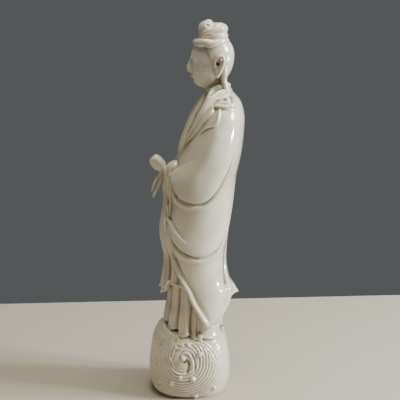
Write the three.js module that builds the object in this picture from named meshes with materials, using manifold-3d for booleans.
// A standing porcelain figure on a base of breaking waves, fired as one piece.
// Millimetres, +Z up, the figure facing -Y, the origin at the middle of the flat underside.
import * as THREE from "three";
import { mergeVertices } from "three/addons/utils/BufferGeometryUtils.js";
import Module from "manifold-3d";

const wasm = await Module();
wasm.setup();

// The wave base: its size, and the pitch of the ridges of water that curl on each side.
const BASE_HEIGHT = 76;
const BASE_HALF_WIDTH = 46;
const BASE_HALF_DEPTH = 43.5;
const RIDGE_PITCH = 8;
const RIDGE_RADIUS = 2;
const PEARL_RADIUS = 2.5;

// The figure keeps its proportions: every length of it below is in parts, PARTS of them to its height.
const FIGURE_HEIGHT = 340;
const PARTS = 340;
const PART = FIGURE_HEIGHT / PARTS;
// How deep the zero of those heights sits below the top of the waves.
const HEM_SEAT = 16;

// Thickness of the cloth where a hem stands free, in parts.
const CLOTH = 3;

const TURN = 2 * Math.PI;
const GLAZE = { color: 0xded9cc, roughness: 0.12, metalness: 0 };

const clamp = (value, low, high) => Math.min(high, Math.max(low, value));
const mix = (a, b, share) => a + (b - a) * share;

// A soft step from 0 at low to 1 at high.
function step(low, high, value) {
  const t = clamp((value - low) / (high - low), 0, 1);
  return t * t * (3 - 2 * t);
}

// A round bump, 1 at 0 and fading out over the width.
const bump = (value, width) => Math.exp(-((value / width) ** 2));

// A smooth line through stations [place, value], in rising places, level beyond its ends.
function through(stations, at) {
  const last = stations.length - 1;
  if (at <= stations[0][0]) return stations[0][1];
  if (at >= stations[last][0]) return stations[last][1];
  const i = stations.findIndex((s) => s[0] > at) - 1;
  const slope = (k) => {
    if (k === 0 || k === last) return 0;
    return (stations[k + 1][1] - stations[k - 1][1]) / (stations[k + 1][0] - stations[k - 1][0]);
  };
  const [x0, y0] = stations[i];
  const [x1, y1] = stations[i + 1];
  const w = x1 - x0;
  const t = (at - x0) / w;
  const a = (1 + 2 * t) * (1 - t) ** 2;
  const b = t * (1 - t) ** 2;
  const c = t * t * (3 - 2 * t);
  const d = t * t * (t - 1);
  return a * y0 + b * w * slope(i) + c * y1 + d * w * slope(i + 1);
}

// Degrees round from the front, either way.
const turnFromFront = (angle) => Math.abs(((angle * 180) / Math.PI + 180) % 360 - 180);

// A closed solid from rings of points, with a fan to a pole over the first and the last ring.
function solidOfRings(rings) {
  const columns = rings[0].length;
  const points = rings.flat();
  const total = (ring) => ring.reduce((sum, p) => sum.add(p), new THREE.Vector3());
  const middle = (ring) => total(ring).divideScalar(columns);
  points.push(middle(rings[0]), middle(rings.at(-1)));
  const faces = [];
  for (let i = 0; i + 1 < rings.length; i++) {
    for (let j = 0; j < columns; j++) {
      const k = (j + 1) % columns;
      const [a, b] = [i * columns + j, i * columns + k];
      const [c, d] = [a + columns, b + columns];
      faces.push(a, b, d, a, d, c);
    }
  }
  const first = rings.length * columns;
  const top = (rings.length - 1) * columns;
  for (let j = 0; j < columns; j++) {
    const k = (j + 1) % columns;
    faces.push(first, k, j, first + 1, top + j, top + k);
  }
  const solid = new wasm.Manifold(
    new wasm.Mesh({
      numProp: 3,
      vertProperties: new Float32Array(points.flatMap((p) => [p.x, p.y, p.z])),
      triVerts: new Uint32Array(faces),
    }),
  );
  if (solid.volume() > 0) return solid;
  return solidOfRings(rings.map((ring) => [...ring].reverse()));
}

// Rings of a surface point(u, v), u going round in columns and v rising in rows.
function ringsOf(rows, columns, point) {
  return Array.from({ length: rows + 1 }, (_, i) =>
    Array.from({ length: columns }, (_, j) => point(j / columns, i / rows)),
  );
}

// An oval section carried along a smooth path of points [x, y, z, half width, half height].
function sweep(path, { steps = 12, sides = 6, up = [0, 0, 1] } = {}) {
  const places = path.map(([x, y, z]) => new THREE.Vector3(x, y, z));
  const curve = new THREE.CatmullRomCurve3(places, false, "centripetal");
  const size = (index) => (t) => {
    const at = t * (path.length - 1);
    const i = Math.min(path.length - 2, Math.floor(at));
    return mix(path[i][index], path[i + 1][index], step(0, 1, at - i));
  };
  const [wide, high] = [size(3), size(4)];
  const rings = ringsOf(steps, sides, (u, v) => {
    const t = clamp(v, 0, 1);
    const along = curve.getTangent(t);
    const side = new THREE.Vector3().crossVectors(along, new THREE.Vector3(...up)).normalize();
    const over = new THREE.Vector3().crossVectors(side, along).normalize();
    return curve
      .getPoint(t)
      .addScaledVector(side, -wide(t) * Math.sin(u * TURN))
      .addScaledVector(over, high(t) * Math.cos(u * TURN));
  });
  return solidOfRings(rings);
}

// An egg: an ellipsoid about a middle, with its axes turned by an Euler rotation in degrees.
function egg(middle, radii, turn = [0, 0, 0], rows = 6, columns = 10) {
  const rotation = new THREE.Euler(...turn.map(THREE.MathUtils.degToRad));
  const rings = ringsOf(rows, columns, (u, v) => {
    const rise = mix(-0.47, 0.47, v) * Math.PI;
    const p = new THREE.Vector3(
      radii[0] * Math.cos(rise) * Math.sin(u * TURN),
      -radii[1] * Math.cos(rise) * Math.cos(u * TURN),
      radii[2] * Math.sin(rise),
    );
    return p.applyEuler(rotation).add(new THREE.Vector3(...middle));
  });
  return solidOfRings(rings);
}

const mirrored = (path) => path.map(([x, ...rest]) => [-x, ...rest]);
const bothSides = (path, options) => [sweep(path, options), sweep(mirrored(path), options)];
const SIDEWAYS = [1, 0, 0.2];

// The robe's outline, by height above the hem's seat: front, back and half width.
const ROBE_FRONT = [
  [14, -33], [50, -32.5], [58, -30.5], [85, -27], [114, -31.5], [143, -27.5], [178, -26], [187, -22],
  [193, -15], [200, -11], [221, -3], [243, 7], [256, 15], [264, 20], [272, 23],
];
const ROBE_BACK = [
  [14, 40], [44, 45], [50, 47], [57, 46.5], [65, 43], [79, 40.2], [93, 39.6], [132, 43.8], [175, 49.5],
  [202, 55.2], [232, 58.4], [244, 57.7], [256, 53.7], [265, 46], [272, 41],
];
const ROBE_SIDE = [
  [14, 44.5], [50, 44], [90, 44.5], [130, 47], [175, 50], [205, 50], [225, 47.5], [240, 43.5], [252, 35],
  [261, 23], [267, 15], [272, 12],
];
const ROBE_TOP = 272;
const ROBE_BLUNT = 2.3;

// The mantle's lower edge as [degrees round from the front, height]: from the wrist down to a point on
// the side, up behind it and across the back, where it flicks out.
const MANTLE_EDGE = [
  [0, 182], [15, 150], [27, 122], [36, 97], [43, 85.5], [53, 74], [61, 67], [68, 59.5], [74, 51], [81, 43],
  [88, 36], [97, 27], [104, 21.5], [111, 18.4], [116, 17.4], [121, 17.8], [127, 20.5], [133, 24.5], [140, 30],
  [148, 35], [154, 39.5], [160, 44], [165, 46.5], [172, 47.5], [180, 46.5],
];
const MANTLE_FLICK = [[0, 0], [160, 0], [166, 1.5], [171, 4.5], [176, 6], [180, 5.5]];
const FLICK_RISE = 8;

// The two deep folds of the mantle over each arm: lower edges in the same terms, how far the cloth
// stands out over them, and how far above them it comes back to the body.
const SWAGS = [
  {
    edge: [
      [27, 140], [35, 130], [42, 120.5], [48.5, 112.5], [54, 107.5], [62, 102.8], [73, 98.6], [84.5, 96.4],
      [95, 96], [112, 98.4], [125.5, 103], [134.5, 109], [141, 115], [146, 123], [151, 134],
    ],
    lift: 2.4,
    rise: 30,
  },
  {
    edge: [
      [19, 190], [23.5, 181], [31, 174.5], [37, 169], [43, 164], [52, 158.5], [63.5, 155], [78, 153.4],
      [90.5, 154.2], [101.5, 158.3], [110, 164.8], [117, 172.5], [122, 182], [126, 194], [129, 206],
    ],
    lift: 3,
    rise: 42,
  },
];
// A fold's lower edge: half the width of the groove under it, the groove's depth and the lip below.
const LIP = { wide: 1.6, groove: 2.2, rise: 1 };
const ROWS = { tongue: 2, lower: 2, upper: 2, shoulder: [214, 233, 250, 262, 272] };

// The front, under the mantle: sleeves that hang from the wrists, and their long folds as x at the
// hem and at the top, height and width.
const SLEEVE_HEM = [
  [0, 72], [5, 68], [11, 52], [16, 50.5], [23, 53], [29, 60], [34, 65], [43, 63.5], [60, 61], [180, 59],
];
const SLEEVE_TOP = 190;
const SLEEVE_INSET = 3.5;
const FRONT_FOLDS = [
  [0, 0, -5, 4.5], [8, 9, 1.6, 3], [14, 17, -2.2, 2.6], [20, 24, 1.6, 2.8], [26, 32, -2, 3],
];

// The robe's outline at one height.
function robeSection(h) {
  const [front, back, side] = [ROBE_FRONT, ROBE_BACK, ROBE_SIDE].map((line) => through(line, h));
  return { side, half: (back - front) / 2, middle: (front + back) / 2 };
}

// The robe's surface at an angle round from the front and a height, lifted off by some parts.
function robePoint(angle, h, lift) {
  const { side, half, middle } = robeSection(h);
  const [c, s] = [Math.cos(angle), Math.sin(angle)];
  const round = (Math.abs(c) ** ROBE_BLUNT + Math.abs(s) ** ROBE_BLUNT) ** (-1 / ROBE_BLUNT);
  const normal = new THREE.Vector2(s / side, -c / half).normalize();
  const [x, y] = [side * s * round, middle - half * c * round];
  return new THREE.Vector3(x + normal.x * lift, y + normal.y * lift, h);
}

// The angle round from the front at which the robe's side has a depth, at one height.
function robeAngle(y, h) {
  const { half, middle } = robeSection(h);
  const deep = clamp((y - middle) / half, -0.985, 0.985);
  return Math.atan2((1 - Math.abs(deep) ** ROBE_BLUNT) ** (1 / ROBE_BLUNT), -deep);
}
const sidePoint = (y, h, lift) => robePoint(robeAngle(y, h), h, lift);

// The mantle: rows of its outer face follow the hem and the lower edge of each fold.
function mantle() {
  const columns = 32;
  const column = (u) => {
    const angle = TURN * u + 0.28 * Math.sin(2 * TURN * u);
    const degrees = turnFromFront(angle);
    const hem = through(MANTLE_EDGE, degrees);
    const flick = (h) => through(MANTLE_FLICK, degrees) * bump(h - hem, FLICK_RISE);
    const lines = [];
    for (const { edge } of SWAGS) {
      const below = lines.at(-1) ?? hem;
      lines.push(Math.max(through(edge, degrees), below + 5 * LIP.wide));
    }
    const swagLift = ({ edge, lift, rise }, line, h) => {
      const [first, last] = [edge[0][0], edge.at(-1)[0]];
      const ends = step(first - 8, first + 8, degrees) * (1 - step(last - 4, last + 10, degrees));
      const above = h - line;
      if (above >= 0) return ends * lift * (1 - step(0, rise, above));
      const lip = LIP.rise * bump(above + 3 * LIP.wide, LIP.wide);
      return ends * (lip - LIP.groove * bump(above + LIP.wide, LIP.wide / 2));
    };
    const lift = (h) => SWAGS.reduce((sum, swag, i) => sum + swagLift(swag, lines[i], h), 0);
    const heights = [hem];
    const climb = (to, rows) => {
      const from = heights.at(-1);
      for (let i = 1; i <= rows; i++) heights.push(mix(from, to, i / rows));
    };
    climb(lines[0] - 3 * LIP.wide, ROWS.tongue);
    heights.push(lines[0] - LIP.wide, lines[0]);
    climb(lines[1] - 3 * LIP.wide, ROWS.lower);
    heights.push(lines[1] - LIP.wide, lines[1]);
    climb(Math.max(lines[1] + 2, ROWS.shoulder[0]), ROWS.upper);
    heights.push(...ROWS.shoulder.slice(1));
    const face = heights.map((h) => robePoint(angle, h, lift(h) + flick(h)));
    return [
      robePoint(angle, hem + 16, -3 * CLOTH),
      robePoint(angle, hem + 0.8, flick(hem) - CLOTH),
      ...face,
    ];
  };
  const all = Array.from({ length: columns }, (_, j) => column(j / columns));
  return solidOfRings(all[0].map((_, i) => all.map((points) => points[i])));
}

// The sleeves and the front of the robe between them.
function sleeves() {
  const columns = 26;
  const rows = 6;
  const column = (u) => {
    const angle = TURN * u - 0.6 * Math.sin(TURN * u);
    const hem = through(SLEEVE_HEM, turnFromFront(angle));
    const inset = SLEEVE_INSET * step(0.8, 0.2, Math.cos(angle));
    const fold = (h) => {
      const x = Math.abs(robePoint(angle, h, 0).x);
      const fall = step(190, 172, h) * step(30, 60, h) * step(0, 0.5, Math.cos(angle));
      return FRONT_FOLDS.reduce((sum, [low, high, height, width]) => {
        return sum + fall * height * bump(x - mix(low, high, step(60, 190, h)), width);
      }, 0);
    };
    const face = Array.from({ length: rows + 1 }, (_, i) => {
      const h = mix(hem, SLEEVE_TOP, i / rows);
      return robePoint(angle, h, fold(h) - inset);
    });
    return [
      robePoint(angle, hem + 14, -3 * CLOTH),
      robePoint(angle, hem + 0.6, fold(hem) - inset - CLOTH),
      ...face,
    ];
  };
  const all = Array.from({ length: columns }, (_, j) => column(j / columns));
  return solidOfRings(all[0].map((_, i) => all.map((points) => points[i])));
}

// The pleated skirt under the robe: its outline, and its pleats as [degrees round of the groove before
// each one, height of its hem in the middle, height of the hem at that groove].
const SKIRT_FRONT = [[-4, -27], [12, -27.5], [20, -27], [28, -26], [38, -24], [48, -23], [75, -22]];
const SKIRT_BACK = [[-4, 36], [8, 36.6], [19, 35], [38, 33], [75, 31]];
const SKIRT_SIDE = [[-4, 37.5], [8, 37], [20, 35.5], [40, 34], [75, 33]];
const SKIRT_PLEATS = [
  [0, 18, 21], [16, 15, 19], [34, 13.2, 17], [57, 6.2, 12], [80, 1.5, 6], [96, 3, 12], [138, 6, 8],
  [180, 6, 8],
];
const SKIRT_TOP = 75;
const PLEAT = { out: 2, in: 2.4, flare: 1.4, flareTo: 14 };
// Places across a pleat, from the groove before it to the next one, and how far each swells out.
const PLEAT_SHAPE = [[0, 0], [0.3, 1], [0.7, 1]];
function skirt() {
  const rows = 2;
  const half = SKIRT_PLEATS.slice(0, -1).flatMap(([groove, hem, grooveHem], i) => {
    const [nextGroove, , nextHem] = SKIRT_PLEATS[i + 1];
    return PLEAT_SHAPE.map(([share, swell]) => {
      const edge = mix(mix(grooveHem, nextHem, share), hem, swell);
      return { degrees: mix(groove, nextGroove, share), hem: edge, swell };
    });
  });
  const [, , seamHem] = SKIRT_PLEATS.at(-1);
  const back = { degrees: 180, hem: seamHem, swell: 0 };
  const other = half.slice(1).reverse().map((column) => ({ ...column, degrees: 360 - column.degrees }));
  const columns = [...half, back, ...other];
  const point = ({ degrees, swell }, h, inset) => {
    const [front, rear, side] = [SKIRT_FRONT, SKIRT_BACK, SKIRT_SIDE].map((line) => through(line, h));
    const deep = (rear - front) / 2;
    const angle = THREE.MathUtils.degToRad(degrees);
    const [c, s] = [Math.cos(angle), Math.sin(angle)];
    const normal = new THREE.Vector2(s / side, -c / deep).normalize();
    const flare = PLEAT.flare * (1 - step(0, PLEAT.flareTo, h));
    const out = mix(-PLEAT.in, PLEAT.out, swell) + flare - inset;
    const y = (front + rear) / 2 - deep * c;
    return new THREE.Vector3(side * s + normal.x * out, y + normal.y * out, h);
  };
  const ring = (height, inset) => columns.map((column) => point(column, height(column.hem), inset));
  const rings = [ring((hem) => hem + 6, 3 * CLOTH), ring((hem) => hem + 0.5, CLOTH)];
  for (let i = 0; i <= rows; i++) rings.push(ring((hem) => mix(hem, SKIRT_TOP, i / rows), 0));
  return solidOfRings(rings);
}

// The legs and hips inside the cloth carry the skirt down to the waves.
const CORE = { wide: 28, deep: 24, y: 4, low: -40, high: 80 };
function core() {
  const rings = ringsOf(1, 12, (u, v) => {
    const y = CORE.y - CORE.deep * Math.cos(u * TURN);
    return new THREE.Vector3(CORE.wide * Math.sin(u * TURN), y, mix(CORE.low, CORE.high, v));
  });
  return solidOfRings(rings);
}

// The collar's rolls on each side, as stations [depth, height, half width, half height] on the robe.
const COLLAR = [
  [
    [40, 270, 4, 3], [33, 270, 5, 3.4], [25, 267, 6, 3.6], [17, 256, 6, 3.6], [10, 243, 5.5, 3.4],
    [3, 230, 5, 3.4], [-4, 218, 5, 3.2], [-9, 208, 4.5, 3], [-14, 198, 3, 2.4],
  ],
  [
    [27, 261, 2, 1.6], [19, 250, 2.6, 2.2], [12, 239.5, 2.8, 2.4], [4, 227.5, 2.6, 2.2], [-3, 217, 2.2, 1.8],
    [-8, 209, 1.6, 1.4],
  ],
];

// Hair that falls behind the neck and spreads over each shoulder, in the same kind of stations.
const LOCKS = [
  [[38.5, 290, 2, 2], [40, 280, 2.6, 2.4], [40, 272, 3, 2.8], [35, 268.5, 3, 2.6], [28, 267, 2, 1.6]],
  [[42, 267, 2.8, 2.4], [34, 264, 3.2, 2.8], [26, 260.5, 3, 2.6], [19, 255, 2, 1.6]],
  [
    [45, 262, 2.4, 2], [43.6, 256, 2.6, 2.2], [40, 251.8, 2.6, 2.2], [33, 250.5, 2.4, 2],
    [25.2, 251.6, 2.4, 2], [19, 244, 2, 1.8], [8, 229.8, 1.4, 1.2],
  ],
  [
    [29.5, 250, 1.8, 1.6], [27, 242.6, 2.2, 1.8], [25.2, 236.2, 2.2, 1.8], [20.5, 231.5, 2, 1.6],
    [13, 228, 1.8, 1.4], [8, 223, 1, 0.8],
  ],
];
const alongRobe = (stations) =>
  stations.map(([y, h, wide, high]) => {
    const p = sidePoint(y, h, high * 0.4);
    return [p.x, p.y, p.z, wide, high];
  });

// The hands: the left one closed and raised, the right one under it with its fingers hanging.
const FIST = { middle: [4.5, -35.6, 190.6], radii: [7.2, 10.6, 6.8], turn: [-38, 0, 0] };
const THUMB = { middle: [9, -35, 194.5], radii: [2.4, 6, 2.6], turn: [-20, 0, 20] };
const WRISTS = [
  [[16, -16, 184, 7, 7], [9, -25, 185, 6, 6], [5, -31, 188, 5, 5]],
  [[-16, -16, 183, 7, 7], [-8, -24, 183, 6, 5.5], [1, -27.5, 181, 4.5, 4]],
];
const FINGERS = [
  [[6, -29, 182, 2, 2], [5.5, -33.5, 176, 1.6, 1.6], [5, -38, 168, 1.4, 1.4], [5, -40.4, 159, 0.9, 0.9]],
  [[1, -28, 180, 2.2, 2.2], [0.5, -31, 171, 1.9, 1.9], [0.5, -35, 161, 1.7, 1.7], [0.5, -39, 153, 1.2, 1.2]],
];
// The sleeve's cloth gathered over each wrist.
const CUFF = { x: 14, y: -16, h: 185.5, radii: [12, 10.5, 9.6], turn: 20 };
function cuff(side) {
  return egg([side * CUFF.x, CUFF.y, CUFF.h], CUFF.radii, [0, 0, side * CUFF.turn], 4, 10);
}
function hands() {
  return [
    egg(FIST.middle, FIST.radii, FIST.turn, 5, 10),
    egg(THUMB.middle, THUMB.radii, THUMB.turn, 3, 6),
    ...WRISTS.map((path) => sweep(path, { steps: 3, sides: 6 })),
    ...FINGERS.map((path) => sweep(path, { steps: 4, sides: 5 })),
    ...[1, -1].map(cuff),
  ];
}

// The head: an egg with brow, nose, lips and chin raised on its front by round bumps.
const HEAD = { y: 22, h: 294, wide: 18.6, deep: 21.5, high: 26 };
function faceRelief(x, z) {
  const u = x / HEAD.wide;
  const v = z / HEAD.high;
  const bridge = step(0.3, -0.2, v) * step(-0.38, -0.27, v);
  const nose = 3.4 * bump(u, mix(0.11, 0.2, step(0.2, -0.3, v))) * bridge;
  const brow = 1 * bump(v - 0.2 + u * u * 0.25, 0.09) * bump(u, 0.65);
  const socket = -1.6 * bump(Math.abs(u) - 0.38, 0.22) * bump(v - 0.04, 0.13);
  const lips = 1.3 * bump(u, 0.26) * bump(v + 0.5, 0.08);
  const chin = 1.3 * bump(u, 0.3) * bump(v + 0.78, 0.14);
  const cheek = 0.8 * bump(Math.abs(u) - 0.5, 0.25) * bump(v + 0.35, 0.25);
  return nose + brow + socket + lips + chin + cheek;
}
function head() {
  const rings = ringsOf(10, 18, (u, v) => {
    const rise = mix(-0.48, 0.3, v) * Math.PI;
    const around = TURN * u - 0.75 * Math.sin(TURN * u);
    const flat = Math.cos(rise) ** (rise > 0 ? 0.6 : 0.85);
    const low = step(0.2, -0.9, Math.sin(rise));
    const x = HEAD.wide * flat * Math.sin(around) * (1 - 0.2 * low);
    const z = HEAD.high * Math.sin(rise);
    const ahead = Math.cos(around);
    const relief = ahead > 0 ? faceRelief(x, z) * step(0, 0.5, ahead) : 0;
    return new THREE.Vector3(x, HEAD.y - HEAD.deep * flat * ahead - relief - low, HEAD.h + z);
  });
  return solidOfRings(rings);
}
const NECK = [[0, 32, 255, 15, 13], [0, 29, 268, 12, 12], [0, 27, 285, 12, 12]];
function neck() {
  return sweep(NECK, { steps: 2, sides: 10, up: [0, 1, 0] });
}

// The hair: a cap over the skull down to the nape, rolls round the brow and a knot on top.
const CAP = { y: 27, h: 303, wide: 20.6, ahead: 15, behind: 20.2, up: 21.5, down: 30 };
function hairCap() {
  const rings = ringsOf(7, 14, (u, v) => {
    const rise = mix(-0.36, 0.49, v) * Math.PI;
    const around = TURN * u;
    const back = step(-0.6, 0.6, -Math.cos(around));
    const flat = Math.cos(rise);
    const low = step(-0.1, -0.9, Math.sin(rise));
    const y = CAP.y - mix(CAP.ahead * (1 - 0.6 * low), CAP.behind, back) * flat * Math.cos(around);
    const z = CAP.h + (rise > 0 ? CAP.up : CAP.down) * Math.sin(rise);
    return new THREE.Vector3(CAP.wide * flat * Math.sin(around), y, z);
  });
  return solidOfRings(rings);
}
const ROLLS = [
  [
    [0, 7.4, 315.4, 4.6, 4.6], [7, 8.4, 315.4, 4.6, 4.6], [13.2, 12, 315.4, 4.2, 4.5],
    [16.6, 18, 315.6, 3.4, 4], [17, 25, 317, 2, 2.6],
  ],
  [
    [0, 38.6, 317.6, 3.2, 3.2], [8, 37.4, 317.4, 3.4, 3.4], [14, 32.6, 316.4, 3.6, 3.8],
    [17.4, 26, 315, 3.4, 3.8], [18.6, 19.6, 313.2, 2.6, 3.2], [18.4, 14.6, 311.6, 1.4, 1.8],
  ],
];
const acrossMiddle = (path, options) => sweep([...mirrored(path.slice(1)).reverse(), ...path], options);
// The knot's lobes: its front, its peak, its rear and the broad band that ties it.
const KNOT = [
  { middle: [0, 20.6, 329.2], radii: [12.4, 11.8, 9.6], rows: 5, columns: 10 },
  { middle: [0, 19.8, 334], radii: [6.4, 5.8, 5.9], rows: 3, columns: 8 },
  { middle: [0, 29.4, 330], radii: [12.4, 11.4, 7.2], rows: 4, columns: 10 },
  { middle: [0, 26, 323.8], radii: [13.6, 14.6, 5], rows: 4, columns: 10 },
];
function knot() {
  return KNOT.map(({ middle, radii, rows, columns }) => egg(middle, radii, [0, 0, 0], rows, columns));
}

// An ear: a long plate with a curled rim and a heavy lobe.
function ear(side) {
  const rim = [
    [side * 19, 24, 287, 1.4, 1.4], [side * 20.4, 25.5, 298, 1.8, 1.8], [side * 21.2, 31, 302.6, 2, 1.8],
    [side * 21.8, 35, 297.5, 2, 1.8], [side * 21.2, 33.8, 288, 2, 1.8], [side * 19.8, 30.5, 280, 2.2, 2.4],
  ];
  return [
    sweep(rim, { steps: 8, sides: 4, up: [side, 0, 0] }),
    egg([side * 18.6, 29.5, 290], [2.4, 6, 13], [-10, 0, 0], 3, 6),
  ];
}

// The base: a blunt barrel, rounded to its foot and to its top, as [share of height, share of width].
const BASE_OUTLINE = [
  [0, 0.86], [0.05, 0.91], [0.11, 0.95], [0.21, 0.985], [0.33, 1], [0.47, 0.985], [0.62, 0.95],
  [0.71, 0.925], [0.81, 0.88], [0.88, 0.83], [0.93, 0.77], [0.97, 0.67], [1, 0.45],
];
// The waves dip by this share of their height towards each side.
const BASE_DIP = 0.1;
const BASE_BLUNT = 2.4;
const BASE_RINGS = [0, 0.08, 0.21, 0.45, 0.7, 0.86, 0.95, 1];
function base() {
  const columns = 30;
  const rings = BASE_RINGS.map((share) =>
    Array.from({ length: columns }, (_, j) => {
      const [c, s] = [Math.cos((TURN * j) / columns), Math.sin((TURN * j) / columns)];
      const round = (Math.abs(c) ** BASE_BLUNT + Math.abs(s) ** BASE_BLUNT) ** (-1 / BASE_BLUNT);
      const size = through(BASE_OUTLINE, share) * round;
      const z = BASE_HEIGHT * share * (1 - BASE_DIP * s * s);
      return new THREE.Vector3(BASE_HALF_WIDTH * size * s, -BASE_HALF_DEPTH * size * c, z);
    }),
  );
  return solidOfRings(rings);
}

// The base's side at a depth and a height.
function baseSide(mirror, y, z, lift = 0) {
  const size = through(BASE_OUTLINE, z / BASE_HEIGHT / (1 - BASE_DIP));
  const deep = clamp(y / (BASE_HALF_DEPTH * size), -0.99, 0.99);
  const wide = (1 - Math.abs(deep) ** BASE_BLUNT) ** (1 / BASE_BLUNT);
  const ahead = Math.sign(deep) * Math.abs(deep) ** (BASE_BLUNT - 1);
  const normal = new THREE.Vector2(wide ** (BASE_BLUNT - 1), ahead).normalize();
  const x = BASE_HALF_WIDTH * size * wide + normal.x * lift;
  return new THREE.Vector3(mirror * x, y + normal.y * lift, z);
}

// Ridges of water that curl out from one middle on each side, as arms of a spiral.
const CURL = { y: -9.5, z: 45, arms: 2, start: 150, inner: 3, outer: 31, farOuter: 14, step: 40 };
function curl(side) {
  const pieces = [];
  const pitch = CURL.arms * RIDGE_PITCH;
  for (let arm = 0; arm < CURL.arms; arm++) {
    let run = [];
    const close = () => {
      if (run.length > 3) pieces.push(sweep(run, { steps: run.length - 1, sides: 3, up: [side, 0, 0] }));
      run = [];
    };
    const outer = side > 0 ? CURL.outer : CURL.farOuter;
    for (let turned = 0; CURL.inner + (pitch * turned) / 360 < outer; turned += CURL.step) {
      const reach = CURL.inner + (pitch * turned) / 360;
      const angle = THREE.MathUtils.degToRad(CURL.start - turned - (arm * 360) / CURL.arms);
      const [y, z] = [CURL.y + reach * Math.cos(angle), CURL.z + reach * Math.sin(angle)];
      const inside = z > 5 && z < 0.86 * BASE_HEIGHT && Math.abs(y) < BASE_HALF_DEPTH * 0.9;
      if (inside) {
        const p = baseSide(side, y, z, 0.2);
        run.push([p.x, p.y, p.z, RIDGE_RADIUS, RIDGE_RADIUS]);
      } else close();
    }
    close();
  }
  return pieces;
}

// Drops of foam on each side, by depth and height, and the lump that breaks under the skirt.
const FOAM = [[-13.6, 25], [7.7, 51.3], [22.7, 11], [-23.6, 44.4], [-0.3, 24]];
const FAR_FOAM = 2;
const FOAM_LUMP = { x: 37, y: 8, z: 63, radii: [5, 5.5, 5] };
function foam(side) {
  const drops = FOAM.slice(0, side > 0 ? FOAM.length : FAR_FOAM).map(([y, z]) => {
    const p = baseSide(side, y, z, 0.6);
    return egg([p.x, p.y, p.z], Array(3).fill(PEARL_RADIUS), [0, 0, 0], 3, 5);
  });
  const { x, y, z, radii } = FOAM_LUMP;
  return [...drops, egg([side * x, y, z], radii, [0, 0, 0], 4, 8)];
}

function whole() {
  const collar = COLLAR.map(alongRobe).flatMap((path) => {
    return bothSides(path, { steps: 6, sides: 5, up: SIDEWAYS });
  });
  const locks = LOCKS.map(alongRobe).flatMap((path) => {
    return bothSides(path, { steps: path.length - 1, sides: 3, up: SIDEWAYS });
  });
  const figure = wasm.Manifold.union([
    mantle(),
    sleeves(),
    skirt(),
    core(),
    ...collar,
    ...locks,
    ...hands(),
    head(),
    neck(),
    hairCap(),
    ...ROLLS.map((path) => acrossMiddle(path, { steps: 10, sides: 6 })),
    ...knot(),
    ...ear(1),
    ...ear(-1),
  ])
    .scale(PART)
    .translate([0, 0, BASE_HEIGHT - HEM_SEAT]);
  // Solid all through: only the outer skin is kept, without the pockets the pieces shut in.
  const pieces = [figure, base(), ...curl(1), ...curl(-1), ...foam(1), ...foam(-1)];
  const skins = wasm.Manifold.union(pieces).decompose();
  return skins.reduce((most, skin) => (skin.volume() > most.volume() ? skin : most));
}

function meshOf(name, solid) {
  const { vertProperties, triVerts, numProp } = solid.getMesh();
  const geometry = new THREE.BufferGeometry();
  const positions = new Float32Array(vertProperties.length / numProp * 3);
  for (let i = 0; i < vertProperties.length / numProp; i++) {
    for (let k = 0; k < 3; k++) positions[3 * i + k] = vertProperties[numProp * i + k];
  }
  geometry.setAttribute("position", new THREE.BufferAttribute(positions, 3));
  geometry.setIndex(new THREE.BufferAttribute(new Uint32Array(triVerts), 1));
  const mesh = new THREE.Mesh(mergeVertices(geometry), new THREE.MeshStandardMaterial(GLAZE));
  mesh.name = name;
  return mesh;
}

const guanyin = new THREE.Group();
guanyin.add(meshOf("guanyin_figure", whole()));
export default guanyin;
